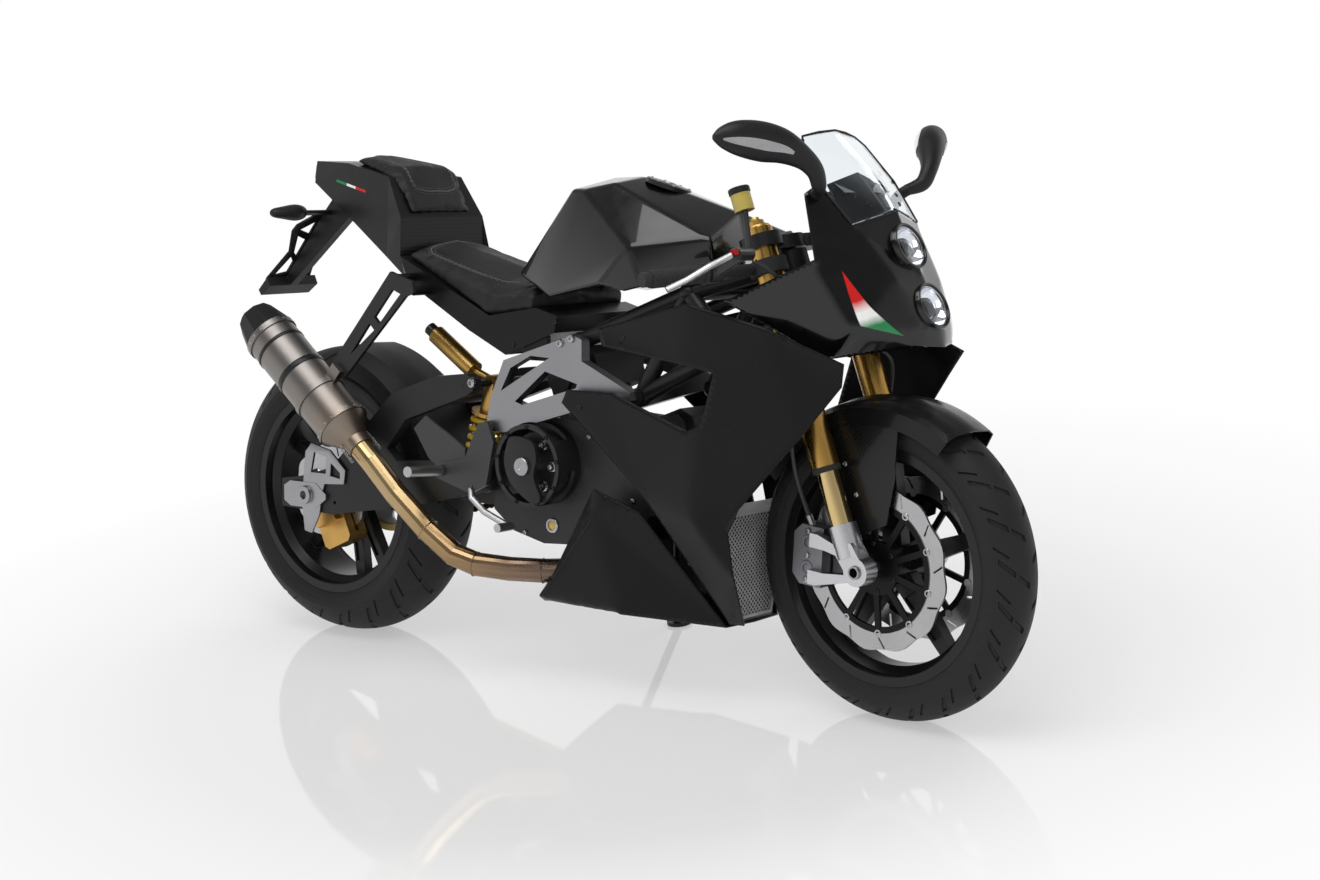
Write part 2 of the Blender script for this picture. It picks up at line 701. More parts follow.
def shock_material():
    """Gold body and reservoir, with a black adjuster at the reservoir's end."""
    s = Shader("shock", (0.5, 0.3, 0.1), 0.3, 0.9)
    grain = s.noise(700.0, 3.0)
    gas = s.times(s.step(along(s, (-0.296, 0.610), (-0.405, 0.682)), 1.002), s.step(s.axis(2, BIKE), 0.640))
    gold = s.mix(grain, (0.44, 0.26, 0.07), (0.58, 0.36, 0.11))
    return s.finish(
        Base_Color=s.mix(gas, gold, (0.014, 0.014, 0.015)),
        Metallic=s.band(gas, 0.0, 1.0, 0.9, 0.0),
        Roughness=s.spread(grain, 0.26, 0.40),
        Normal=s.bump(grain, 0.00006),
    )


def control_material():
    """Black clamps, silver levers, and reservoirs of yellow fluid under black caps."""
    s = Shader("bar_controls", (0.02, 0.02, 0.02), 0.4, 0.0)
    grain = s.noise(1200.0, 2.0)
    z = s.axis(2, FORK)
    cup = s.times(s.step(z, 0.6905), s.rest(s.step(z, 0.7235)))
    lever = s.times(s.step(s.math("ABSOLUTE", s.axis(1, FORK)), 0.259), s.rest(s.step(z, 0.640)))
    base = s.mix(lever, s.mix(grain, (0.016, 0.016, 0.017), (0.028, 0.028, 0.029)), (0.60, 0.60, 0.62))
    return s.finish(
        Base_Color=s.mix(cup, base, (0.42, 0.33, 0.075)),
        Metallic=lever,
        Roughness=s.spread(grain, 0.26, 0.40),
        Normal=s.bump(grain, 0.00005),
    )


def rearset_material():
    """Black plates with bare metal pegs and pedals outboard of them."""
    s = Shader("rearsets", (0.02, 0.02, 0.02), 0.35, 0.0)
    grain = s.noise(1000.0, 3.0)
    out = s.step(s.math("ABSOLUTE", s.axis(1, BIKE)), 0.190)
    return s.finish(
        Base_Color=s.mix(out, s.mix(grain, (0.016, 0.016, 0.017), (0.030, 0.030, 0.031)), (0.46, 0.46, 0.47)),
        Metallic=out,
        Roughness=s.spread(grain, 0.28, 0.42),
        Normal=s.bump(grain, 0.00006),
    )


MATS = make_materials()

# CAD nodes, shown or replaced: finish of each, and width of the bevel on its edges in millimetres (0 for none)
FINISH = {
    "frame": ("frame", 0), "frame_plates": ("billet", 1.5), "engine_case": ("engine", 2.0),
    "engine_cylinders": ("engine", 1.0), "engine_covers": ("cover", 1.0), "swingarm": ("frame", 2.5),
    "rear_axle": ("silver", 1.0), "rear_caliper": ("gold_part", 2.0), "shock_absorber": ("shock", 1.0),
    "shock_spring": ("spring", 0), "rear_hugger": ("plastic", 1.0), "exhaust_pipe": ("pipe", 0),
    "muffler": ("titanium", 0.8), "muffler_cap": ("plastic", 2.0), "muffler_bracket": ("black_metal", 1.0),
    "tail_unit": ("tail", 3.0), "fuel_tank": ("gloss", 4.0), "nose_fairing": ("nose", 1.6),
    "windscreen": ("screen", 0), "headlamps": ("chrome", 0), "side_fairings": ("carbon", 1.6),
    "belly_pan": ("carbon", 1.6), "radiator": ("radiator", 0), "fairing_stay": ("black_metal", 2.0),
    "mirrors": ("plastic", 2.0), "licence_bracket": ("plastic", 1.5), "rear_lamps": ("rear_lamps", 1.0),
    "rearsets": ("rearsets", 1.0), "drive_chain": ("chain", 0), "front_sprocket": ("steel", 0),
    "fork_tubes": ("gold", 0.8), "fork_legs": ("fork_legs", 1.2), "yokes": ("black_metal", 1.5),
    "handlebars": ("grip", 0.8), "bar_controls": ("controls", 1.0), "front_fender": ("carbon_gloss", 1.0),
    "front_calipers": ("caliper", 2.0), "front_axle": ("silver", 0.6), "front_rim": ("wheel", 1.2),
    "front_tyre": ("tyre", 0), "front_discs": ("front_disc", 0), "rear_rim": ("wheel", 1.2),
    "rear_tyre": ("tyre", 0), "rear_disc": ("rear_disc", 0), "rear_sprocket": ("silver", 0),
    "side_stand": ("black_metal", 1.0), "rider_seat": ("leather", 0), "pillion_seat": ("leather", 0),
}
# Bend of an edge that gets a bevel, and distance at which points merge before it
BEVEL_ANGLE, BEVEL_WELD = 24.0, 0.00005


def dress_nodes():
    for name, (mat, width) in FINISH.items():
        obj = NODES[name]
        obj.data.materials.clear()
        obj.data.materials.append(MATS[mat])
        if width:
            obj.modifiers.new("weld", "WELD").merge_threshold = BEVEL_WELD
            bevel = obj.modifiers.new("bevel", "BEVEL")
            bevel.width = width * MM
            bevel.segments = 3
            bevel.limit_method = "ANGLE"
            bevel.angle_limit = math.radians(BEVEL_ANGLE)
            obj.modifiers.new("normals", "WEIGHTED_NORMAL").keep_sharp = True


# Floor: half side, radii between which it turns plain white, share of white near the bike, strength of its mirror
FLOOR = (40.0, 0.9, 2.1, 0.52, 0.20)
# Radii between which the floor's mirror ends
MIRROR_FADE = (1.0, 1.6)


def make_stage():
    half, near, far, share, gloss = FLOOR
    mesh = bpy.data.meshes.new("floor")
    mesh.from_pydata([(-half, -half, 0), (half, -half, 0), (half, half, 0), (-half, half, 0)], [], [(0, 1, 2, 3)])
    floor = bpy.data.objects.new("floor", mesh)
    SCENE.collection.objects.link(floor)
    s = Shader("floor_white", (0.86, 0.86, 0.86), 0.6, 0.0, Specular_IOR_Level=0.0)
    looked = s.looked()
    away = s.node("VectorMath", {0: s.coords()}, operation="LENGTH").outputs["Value"]
    white = s.node("Emission", {"Color": (1, 1, 1), "Strength": 1.0}).outputs[0]
    mirror = s.node("BsdfGlossy", {"Color": (1, 1, 1), "Roughness": 0.05}).outputs[0]
    plain = s.node("MixShader", {0: s.times(looked, share), 1: s.out.outputs[0], 2: white}).outputs[0]
    near_by = s.band(away, *MIRROR_FADE, gloss, 0.0)
    ground = s.node("MixShader", {0: near_by, 1: plain, 2: mirror}).outputs[0]
    fade = s.times(s.band(away, near, far), looked)
    surface = s.node("MixShader", {0: fade, 1: ground, 2: white}).outputs[0]
    s.tree.links.new(surface, s.tree.nodes["Material Output"].inputs[0])
    mesh.materials.append(s.mat)
    make_world()


# World: level that lights the object, elevation (sine) up to which the backdrop is white, and where it is darkest
WORLD = (0.30, 0.16, 0.55, 0.22)


def make_world():
    lit, white_to, dark_from, dark = WORLD
    world = bpy.data.worlds.new("studio")
    SCENE.world = world
    world.use_nodes = True
    w = Nodes(world.node_tree)
    up = w.node("SeparateXYZ", {0: w.node("TexCoord").outputs["Generated"]}).outputs["Z"]
    shade = w.band(up, white_to, dark_from, 1.0, dark)
    level = w.node("Mix", {"Factor": w.looked(), "A": lit, "B": shade}).outputs["Result"]
    w.set(w.tree.nodes["Background"], {"Color": (1, 1, 1), "Strength": level})


# Softboxes: place, point lit, size across and along, power in watts
LIGHTS = (
    ("top", (0.2, -0.9, 3.4), (0.0, -0.1, 0.5), (3.2, 2.0), 70),
    ("front_right", (3.4, -2.6, 2.0), (0.3, -0.2, 0.6), (1.6, 2.4), 45),
    ("rear_right", (-3.2, -3.0, 1.6), (-0.3, -0.1, 0.5), (1.4, 2.2), 28),
    ("left", (0.6, 3.4, 2.4), (0.0, 0.0, 0.7), (3.0, 1.6), 40),
)
# Softbox that may show in gloss; the others would stand as hard edges in the floor's mirror
MIRRORED = "top"


def make_lights():
    for name, place, aim, size, power in LIGHTS:
        data = bpy.data.lights.new(name, "AREA")
        data.shape = "RECTANGLE"
        data.size, data.size_y = size
        data.energy = power
        lamp = bpy.data.objects.new(name, data)
        SCENE.collection.objects.link(lamp)
        lamp.location = place
        lamp.visible_glossy = name == MIRRORED
        lamp.rotation_euler = (Vector(aim) - Vector(place)).to_track_quat("-Z", "Y").to_euler()


# Tyres: grooves of one repeat of the tread
# Columns: start and end round the repeat, side, start and end across the half width
TREAD_GROOVES = (
    (0.10, 0.24, 1, 0.06, 0.40),
    (0.10, 0.24, 1, 0.46, 0.86),
    (0.60, 0.74, -1, 0.06, 0.40),
    (0.60, 0.74, -1, 0.46, 0.86),
    (0.42, 0.52, 1, 0.58, 0.92),
    (0.92, 0.99, -1, 0.58, 0.92),
)
GROOVE_DEPTH, GROOVE_WALL = 0.0035, 0.02
TREAD_ROWS, WALL_ROWS = 14, 12
# Sidewall: swell, height of its raised rings and their rows; then rim flange and bead
WALL_SWELL, WALL_RING, RING_ROWS = 0.0022, 0.0006, (3, 4, 8, 10)
FLANGE_R, BEAD_R, BEAD_IN = 0.2283, 0.2163, 0.0073
# Power by which the shear of the grooves grows across the tread
SHEAR_POWER = 1.25


def make_tyre(name, node, hub, radius, width, crown, rim_w, repeats, shear, body):
    """Tyre with cut grooves; its section runs from bead to bead over the crown."""
    edge = radius - crown + math.sqrt(crown**2 - width**2 / 4)
    rows = {k / TREAD_ROWS for k in range(TREAD_ROWS + 1)}
    cols = {0.0, 0.5}
    for a, b, _, v0, v1 in TREAD_GROOVES:
        cols |= {a, a + GROOVE_WALL, b - GROOVE_WALL, b, (a + b) / 2}
        rows |= {v0, v0 + GROOVE_WALL, v1 - GROOVE_WALL, v1}
    cols, right = sorted(cols), sorted(rows)
    across = [-v for v in reversed(right[1:])] + right
    wall = []
    for k in range(1, WALL_ROWS + 1):
        t = k / WALL_ROWS
        y = width / 2 + (rim_w / 2 - width / 2) * t + WALL_SWELL * math.sin(math.pi * t)
        wall.append((y + (WALL_RING if k in RING_ROWS else 0.0), edge + (FLANGE_R - edge) * t, shear))
    bead = rim_w / 2 - BEAD_IN
    wall += [(bead, FLANGE_R, shear), (bead, BEAD_R, shear)]
    left = [(-y, r, lag) for y, r, lag in reversed(wall)]
    half = math.asin(min(1.0, width / 2 / crown))
    verts = []
    for base in range(repeats):
        for col in cols:
            tread = []
            for v in across:
                deep = any(
                    a + GROOVE_WALL <= col <= b - GROOVE_WALL and v0 + GROOVE_WALL <= v * side <= v1 - GROOVE_WALL
                    for a, b, side, v0, v1 in TREAD_GROOVES
                )
                arc = crown - GROOVE_DEPTH if deep else crown
                lag = shear * abs(v) ** SHEAR_POWER
                tread.append((arc * math.sin(half * v), radius - crown + arc * math.cos(half * v), lag))
            for y, r, lag in left + tread + wall:
                a = math.tau * (base + col) / repeats + lag
                verts.append((r * math.cos(a), y, r * math.sin(a)))
    m = 2 * len(wall) + len(across)
    obj = piece(name, (verts, tube_faces(len(verts) // m, m, closed=True)), "tyre", body, hub, sharp=30.0)
    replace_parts(obj, node)


# Pads: cell of the mesh, pressure and frames of the cloth, limit of its swelling, rounds of smoothing
PAD_CELL, PAD_PRESSURE, PAD_FRAMES, PAD_SWELL, PAD_SMOOTH = 0.005, 4.0, 20, 0.008, 6


def make_seat(name, node, size):
    """Padded cover: the node's form sized about its foot, remeshed, swollen as cloth and smoothed."""
    mesh = NODES[node].data.copy()
    obj = bpy.data.objects.new(name, mesh)
    SCENE.collection.objects.link(obj)
    mesh.transform(BIKE.inverted())
    spots = [v.co for v in mesh.vertices]
    foot = sum(spots, Vector()) / len(spots)
    foot.z = min(p.z for p in spots)
    mesh.transform(BIKE @ Matrix.Translation(foot) @ Matrix.Diagonal((*size, 1)) @ Matrix.Translation(-foot))
    mesh.materials.clear()
    remesh = obj.modifiers.new("remesh", "REMESH")
    remesh.mode = "VOXEL"
    remesh.voxel_size = PAD_CELL
    bake(obj)
    start = [v.co.copy() for v in obj.data.vertices]
    cloth = obj.modifiers.new("cloth", "CLOTH")
    cloth.settings.use_pressure = True
    cloth.settings.uniform_pressure_force = PAD_PRESSURE
    cloth.settings.effector_weights.gravity = 0.0
    for f in range(1, PAD_FRAMES + 1):
        SCENE.frame_set(f)
    bake(obj)
    SCENE.frame_set(1)
    for v, old in zip(obj.data.vertices, start):
        step = v.co - old
        if step.length > PAD_SWELL:
            v.co = old + step.normalized() * PAD_SWELL
    obj.modifiers.new("smooth", "SMOOTH").iterations = PAD_SMOOTH
    obj.modifiers.new("subdivision", "SUBSURF").levels = 1
    bake(obj)
    obj.data.shade_smooth()
    obj.data.materials.append(MATS["leather"])
    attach(obj, "chassis")
    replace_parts(obj, node)
    return obj


def bake(obj):
    """Apply all modifiers of an object to its mesh."""
    graph = bpy.context.evaluated_depsgraph_get()
    mesh = bpy.data.meshes.new_from_object(obj.evaluated_get(graph))
    obj.modifiers.clear()
    obj.data = mesh


# Places and small shapes for the added pieces; lengths in their tables are millimetres


def bike(x, y, z):
    """Point of the upright bike in the row frame."""
    return BIKE @ Vector((x * MM, y * MM, z * MM))


def fork(x, y, z):
    """Point of the fork in the row frame; Z runs up along the legs from the axle."""
    return FORK @ Vector((x * MM, y * MM, z * MM))


def turned(v):
    return BIKE.to_3x3() @ Vector(v)


def shift(x, y, z):
    return Matrix.Translation((x * MM, y * MM, z * MM))


def hoop(radius, wire, n=32, sides=8):
    """Round ring about Z."""
    return swept([(radius * c, radius * s, 0) for c, s in circle(n)], wire, sides, closed=True)


def skin(grid, lift):
    """Closed shell over a grid of (point, normal), as thick as the lift."""
    rows, cols = len(grid), len(grid[0])
    k = rows * cols
    verts = [p for row in grid for p, _ in row] + [p + n * lift for row in grid for p, n in row]
    faces = []
    for i in range(rows - 1):
        for j in range(cols - 1):
            q = (i * cols + j, i * cols + j + 1, (i + 1) * cols + j + 1, (i + 1) * cols + j)
            faces += [q, tuple(a + k for a in reversed(q))]
    edge = list(range(cols)) + [i * cols + cols - 1 for i in range(1, rows)]
    edge += [(rows - 1) * cols + j for j in range(cols - 2, -1, -1)] + [i * cols for i in range(rows - 2, 0, -1)]
    for a, b in zip(edge, edge[1:] + edge[:1]):
        faces.append((b, a, a + k, b + k))
    return verts, faces


# Where rays to the flanks and to the top start
BESIDE, ABOVE = 700, 1300


def on_side(node, spots, sides=(-1, 1)):
    """Places on a node's flanks at X and Z of the upright bike."""
    out = []
    for x, z in spots:
        for s in sides:
            p, n, _, _ = tree_of(node).ray_cast(bike(x, s * BESIDE, z), turned((0, -s, 0)))
            if p is not None:
                out.append((p, n if n.dot(turned((0, s, 0))) > 0 else -n))
    return out


def draped(obj, spots, lift):
    """Points at X and Y of the upright bike, dropped on a mesh."""
    down = turned((0, 0, -1))
    out = []
    for x, y in spots:
        p, n, _, _ = tree_of(obj).ray_cast(bike(x, y, ABOVE), down)
        if p is not None:
            out.append((p - down * lift * MM, n if n.dot(down) < 0 else -n))
    return out


def both_sides(parts, place=BIKE):
    """Parts of the right side of a frame with their images on the left."""
    parts = list(parts)
    return joined(parts + [moved(p, flipped(place)) for p in parts])


# Panels: distance at which points merge, passes of splitting, and bend that shows as a crease
PANEL_WELD, PANEL_PASSES, PANEL_CREASE = 0.0001, 7, 40.0


def soft_panel(name, node, mat, cell, rounds, split):
    """Copy of a folded panel with its folds rounded off between rims that stay where they are."""
    mesh = NODES[node].data.copy()
    work = bmesh.new()
    work.from_mesh(mesh)
    bmesh.ops.remove_doubles(work, verts=work.verts, dist=PANEL_WELD)
    for _ in range(PANEL_PASSES):
        bmesh.ops.triangulate(work, faces=work.faces)
        long = [e for e in work.edges if e.calc_length() > cell * MM]
        if not long:
            break
        bmesh.ops.subdivide_edges(work, edges=long, cuts=1)
    bmesh.ops.triangulate(work, faces=work.faces)
    held = {v for e in work.edges if math.degrees(e.calc_face_angle(math.pi)) > split for v in e.verts}
    free = [v for v in work.verts if v not in held]
    for _ in range(rounds):
        bmesh.ops.smooth_vert(work, verts=free, factor=0.5, use_axis_x=True, use_axis_y=True, use_axis_z=True)
    work.to_mesh(mesh)
    work.free()
    mesh.shade_smooth()
    mesh.set_sharp_from_angle(angle=math.radians(PANEL_CREASE))
    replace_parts(added(name, mesh, mat), node)


def plate(loops, thick):
    """Flat plate with holes: loops of (x, y) in millimetres, the outline first."""
    rows = [[Vector((x * MM, y * MM, 0)) for x, y in loop] for loop in loops]
    flat = [p for row in rows for p in row]
    n = len(flat)
    verts = flat + [p + Vector((0, 0, thick * MM)) for p in flat]
    faces = []
    for tri in tessellate_polygon(rows):
        faces += [tuple(tri), tuple(k + n for k in reversed(tri))]
    start = 0
    for row in rows:
        k = len(row)
        faces += [(start + a, start + (a + 1) % k, start + (a + 1) % k + n, start + a + n) for a in range(k)]
        start += k
    return verts, faces


def plane(origin, u, v):
    """Matrix from a plate's own X and Y to directions of the upright bike, at a point in millimetres."""
    u, v = Vector(u).normalized(), Vector(v).normalized()
    turn = Matrix((u, v, u.cross(v))).transposed().to_4x4()
    return BIKE @ Matrix.Translation(Vector(origin) * MM) @ turn


def shared(shares, at, size):
    """Outline from shares of a size, at a corner."""
    return [(at[0] + a * size[0], at[1] + b * size[1]) for a, b in shares]


# Bend of an edge that is rounded, and bend that stays a crease after it
EASED_EDGE, EASED_CREASE = 8.0, 35.0


def eased(obj, width, segments=2):
    """Round the edges of an added piece."""
    bevel = obj.modifiers.new("bevel", "BEVEL")
    bevel.width = width * MM
    bevel.segments = segments
    bevel.limit_method = "ANGLE"
    bevel.angle_limit = math.radians(EASED_EDGE)
    obj.modifiers.new("normals", "WEIGHTED_NORMAL").keep_sharp = True
    bake(obj)
    obj.data.shade_smooth()
    obj.data.set_sharp_from_angle(angle=math.radians(EASED_CREASE))
    return obj


# Headlamps: X, Z and tilt of each on the centre line
LAMPS = ((781.9, 783.0, 65.3), (730.7, 891.5, 64.2))
# Sections of a lamp's pieces: (radius, height)
BOWL = [
    (40, -30), (40, -2), (38.8, -1), (37.4, -2), (36, -6), (31, -13), (24, -19), (21.5, -21), (21.5, -27), (12, -28),
]
BARREL = [(20.8, -27), (20.8, -13.5), (19.8, -12), (17.8, -12), (17.8, -27)]
BULB = [(17.6, -20), (17.6, -13.5), (15.5, -9.8), (11, -7.2), (6, -6), (0.6, -5.6)]
COVER = [(38.5, -3.6), (38.5, -1.6), (34, 0.2), (24, 1.6), (12, 2.4), (0.6, 2.7)]
BEZEL = [(40.5, -11), (46, -11), (46, 1.6), (44.6, 3.0), (42, 2.8), (40.5, 1.2)]


def make_headlamps():
    places = [BIKE @ shift(x, 0, z) @ Matrix.Rotation(math.radians(t), 4, "Y") for x, z, t in LAMPS]

    def each(part):
        return joined(moved(part, m) for m in places)

    bowls = piece("lamp_bowls", each(lathe(BOWL, 64)), "chrome")
    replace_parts(bowls, "headlamps")
    piece("lamp_barrels", each(ring(BARREL, 48)), "black_metal")
    piece("lamp_projectors", each(lathe(BULB, 48)), "lens")
    piece("lamp_covers", each(lathe(COVER, 64)), "lens")
    piece("lamp_bezels", each(ring(BEZEL, 64)), "gloss", sharp=50.0)


# Mirrors: foot and its seat on the nose, radius of its ball, then rows of place, half depth and half height
MIRROR_FOOT = (628.4, -153.1, 992.4)
MIRROR_SEAT = (617.9, -147.5, 985.0)
MIRROR_BALL = 11.3
MIRROR_ROWS = (
    (0, 0, 0, 11, 11), (17, -25, 12, 14, 15), (20, -42, 36, 16, 17), (10, -64, 58, 21, 21), (-12, -98, 79, 28, 31),
    (-34, -136, 88, 30, 36), (-52, -180, 94, 26, 31), (-64, -208, 95, 17, 20), (-70, -226, 94, 5, 6),
)


def oval_rows(rows, start, steps):
    """Stations along rows: centre, two axes with their half lengths, in metres of the upright bike."""
    path = [Vector(start) * MM + Vector(r[:3]) * MM for r in rows]
    half = [Vector((r[3], r[4], 0)) * MM for r in rows]
    path, half = smooth_path(path, steps), smooth_path(half, steps)
    out = []
    for i, p in enumerate(path):
        t = (path[min(i + 1, len(path) - 1)] - path[max(i - 1, 0)]).normalized()
        u = t.cross(Vector((0, 0, 1))).normalized()
        out.append((p, u, u.cross(t), half[i].x, half[i].y))
    return out


def oval_skin(stations, n=36):
    """Closed tube over the ovals."""
    verts = [BIKE @ (p + a * c * u + b * s * v) for p, u, v, a, b in stations for c, s in circle(n)]
    last = len(verts) - n
    return verts, tube_faces(len(stations), n) + [tuple(range(n)), tuple(range(last, last + n))]


# Patches on ovals: cells across, power that rounds their ends, and depth sunk into the shell
PATCH_CELLS, PATCH_ROUND, PATCH_SUNK = 20, 0.35, 0.0006


def oval_patch(stations, start, end, lift):
    """Shell on the ovals between two angles in degrees."""
    grid = []
    for i, (p, u, v, a, b) in enumerate(stations):
        ease = math.sin(math.pi * (i + 0.5) / len(stations)) ** PATCH_ROUND
        row = []
        for k in range(PATCH_CELLS + 1):
            w = math.radians((start + end) / 2 + (end - start) * ease * (k / PATCH_CELLS - 0.5))
            point = p + (a * math.cos(w)) * u + (b * math.sin(w)) * v
            out = (math.cos(w) / a * u + math.sin(w) / b * v).normalized()
            row.append((BIKE @ (point - out * PATCH_SUNK), turned(out)))
        grid.append(row)
    return skin(grid, lift)


def make_mirrors():
    stations = oval_rows(MIRROR_ROWS, MIRROR_FOOT, 6)
    stub = swept([bike(*MIRROR_SEAT), bike(*MIRROR_FOOT)], 0.011, 28)
    turns = [k * math.pi / 10 for k in range(1, 10)]
    ball = lathe([(MIRROR_BALL * math.sin(a), -MIRROR_BALL * math.cos(a)) for a in turns], 24)
    parts = [oval_skin(stations), stub, moved(ball, Matrix.Translation(bike(*MIRROR_FOOT)))]
    shells = piece("mirror_shells", both_sides(parts), "plastic", sharp=60.0)
    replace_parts(shells, "mirrors")
    piece("mirror_glass", both_sides([oval_patch(stations[22:46], -64, 64, 0.0016)]), "chrome")
    piece("mirror_lamps", both_sides([oval_patch(stations[22:45], 178, 208, 0.0018)]), "lamp_strip")


# Indicators: rows as of the mirrors, from the root of the lens
INDICATOR_ROOT = (-774, -88, 936)
INDICATOR_ROWS = (
    (0, 0, 0, 7, 7), (0, -12, 1, 17, 15), (-2, -32, 1, 26, 18), (-4, -62, 1, 22, 14), (-5, -88, 1, 13, 10),
    (-6, -97, 1, 5, 4),
)
# Tail lamp: X and Z of its foot and top, half width; ribs to each side, their pitch, and how they stand on it
TAIL_LAMP = ((-771.5, 1011.0), (-766.3, 1042.0), 54)
TAIL_RIBS, RIB_OUT, RIB_END, RIB_R = 9, 5.6, 1.5, 0.0022
RIB_PITCH = TAIL_LAMP[2] / 9.6


def make_rear_lamps():
    stations = oval_rows(INDICATOR_ROWS, INDICATOR_ROOT, 5)
    piece("indicator_shells", both_sides([oval_skin(stations)]), "plastic", sharp=60.0)
    piece("indicator_lenses", both_sides([oval_patch(stations[6:23], -62, 62, 0.0012)]), "amber")
    (x0, z0), (x1, z1), _ = TAIL_LAMP
    ribs = []
    for k in range(-TAIL_RIBS, TAIL_RIBS + 1):
        y = RIB_PITCH * k
        ribs.append(swept([bike(x0 - RIB_OUT, y, z0 + RIB_END), bike(x1 - RIB_OUT, y, z1 - RIB_END)], RIB_R, 8))
    piece("tail_lamp_ribs", joined(ribs), "red_lens")


# Windscreen: points round its free edge, and its screws
SCREEN_EDGE = (
    (674.6, -112.5, 932.2), (610.6, -130.5, 1008.2), (560, -106, 1075.5), (548, -88, 1092), (555, -45, 1100),
    (562, 0, 1103.9),
)
SCREEN_SCREWS = ((895, 232), (869, 205), (853, 196))


def make_screen():
    half = [Vector(p) for p in SCREEN_EDGE]
    path = half + [Vector((p.x, -p.y, p.z)) for p in reversed(half[:-1])]
    piece("screen_trim", swept([bike(*p) for p in path], 0.0024, 8), "plastic")
    screws("screen_screws", on_both("windscreen", SCREEN_SCREWS), (0.0048, 0.0026), "black_bolt")


# Radiator guard: X, half width and height of its foot and of its top, pitch and wire
GUARD = (381.0, (60, 160), (113, 364), 11.0, 1.2)


def make_radiator():
    x, (foot, low), (top_half, top), pitch, wire = GUARD

    def half(z):
        return foot + (top_half - foot) * (z - low) / (top - low)

    wires = []
    count = int((top - low + 2 * top_half) / pitch)
    for way in (1, -1):
        for k in range(-count, count):
            pts = [(k * pitch + way * (z - low), z) for z in (low + i * (top - low) / 60 for i in range(61))]
            pts = [(y, z) for y, z in pts if abs(y) <= half(z)]
            if len(pts) > 3:
                wires.append(swept([bike(x + way * 0.5, *pts[0]), bike(x + way * 0.5, *pts[-1])], wire * MM, 5))
    piece("radiator_guard", joined(wires), "mesh")
    rim = [(-foot, low), (foot, low), (top_half, top), (-top_half, top)]
    border = []
    for (y0, z0), (y1, z1) in zip(rim, rim[1:] + rim[:1]):
        border.append(swept([bike(x, y0, z0), bike(x, y1, z1)], 0.0034, 10))
    border.append(swept([bike(x - 6, -top_half, top + 8), bike(x - 6, top_half, top + 8)], 0.011, 14))
    piece("radiator_border", joined(border), "mesh")


# Exhaust: places and directions of the pipe's welds, ends of the can's bands, rows of rivets
PIPE_RINGS = (
    ((-66, -110, 214), (-158, -78, -4)), ((-205, -162, 220), (-124, -36, 22)), ((-315, -190, 284), (-142, -24, 117)),
)
CAN_BANDS = ((222, 236), (306, 314))
CAN_R = 56.0
CAN_RIVETS, RIVETS_ROUND, RIVET_OUT = (73.0, 349.0), 18, 2.9
# Springs at the can's inlet: angles round it, place and radius of the coil, start and rise a step
SPRING_TURNS, SPRING_AT, SPRING_R, SPRING_Z, SPRING_RISE = (60, 240), 0.0345, 0.0032, -0.022, 0.00042


def make_exhaust():
    rings = [moved(hoop(0.0253, 0.0013, 40), facing(bike(*at), turned(way))) for at, way in PIPE_RINGS]
    piece("pipe_welds", joined(rings), "pipe")
    bands = []
    r = CAN_R
    for a, b in CAN_BANDS:
        profile = [(r - 1, a), (r + 0.9, a), (r + 1.5, a + 0.8), (r + 1.5, b - 0.8), (r + 0.9, b), (r - 1, b)]
        bands.append(moved(ring(profile, 72), CAN))
    piece("can_bands", joined(bands), "black_metal", sharp=50.0)
    rivets = []
    for z in CAN_RIVETS:
        for c, s in circle(RIVETS_ROUND):
            out = Vector((c, s, 0))
            rivets.append((CAN @ (out * (r + RIVET_OUT) * MM + Vector((0, 0, z * MM))), CAN.to_3x3() @ out))
    rivet = lathe([(2.2, -0.4), (2.2, 0.3), (1.6, 0.9), (0.5, 1.1)], 10)
    piece("can_rivets", put(rivet, rivets), "steel")
    coil = [
        (SPRING_AT + SPRING_R * c, SPRING_R * s, SPRING_Z + SPRING_RISE * k)
        for k, (c, s) in enumerate(circle(10) * 12)
    ]
    spring = swept(coil, 0.0007, 6)
    turns = [CAN @ Matrix.Rotation(math.radians(a), 4, "Z") for a in SPRING_TURNS]
    piece("pipe_springs", joined(moved(spring, m) for m in turns), "steel")


# Seams of the pads: X and Y of the right half of each line
RIDER_SEAM = ((-400, 0), (-398, 70), (-380, 98), (-300, 106), (-200, 104), (-120, 86), (-92, 50), (-88, 0))
PILLION_SEAM = ((-622, 0), (-616, 26), (-590, 40), (-530, 56), (-470, 66), (-458, 40), (-456, 0))

# Stitches: rows as shares of the seam's size, pitch, least step of the line, half length
STITCH_ROWS, STITCH_PITCH, STITCH_GAP, STITCH_HALF = (0.955, 1.035), 0.0075, 0.0005, 0.0022


def make_seams(pad, half, name):
    line = smooth_path([(x, -y, 0) for x, y in half], 14)
    loop = [(p.x, p.y) for p in line] + [(p.x, -p.y) for p in reversed(line[1:-1])]
    bead = [p for p, _ in draped(pad, loop, 0.2)]
    piece(name + "_piping", swept(bead, 0.0016, 8, closed=True), "suede")
    centre = sum((Vector(p) for p in loop), Vector((0, 0))) / len(loop)
    stitches = []
    for side in STITCH_ROWS:
        track = draped(pad, [centre + (Vector(p) - centre) * side for p in loop], 0.3)
        pts = [p for p, _ in track]
        spent = 0.0
        for a, b in zip(pts, pts[1:] + pts[:1]):
            gap = (b - a).length
            spent += gap
            if spent >= STITCH_PITCH and gap > STITCH_GAP:
                way = (b - a).normalized() * STITCH_HALF
                stitches.append(swept([a - way, a, a + way], [0.0003, 0.0006, 0.0003], 6))
                spent = 0.0
    piece(name + "_stitches", joined(stitches), "thread")


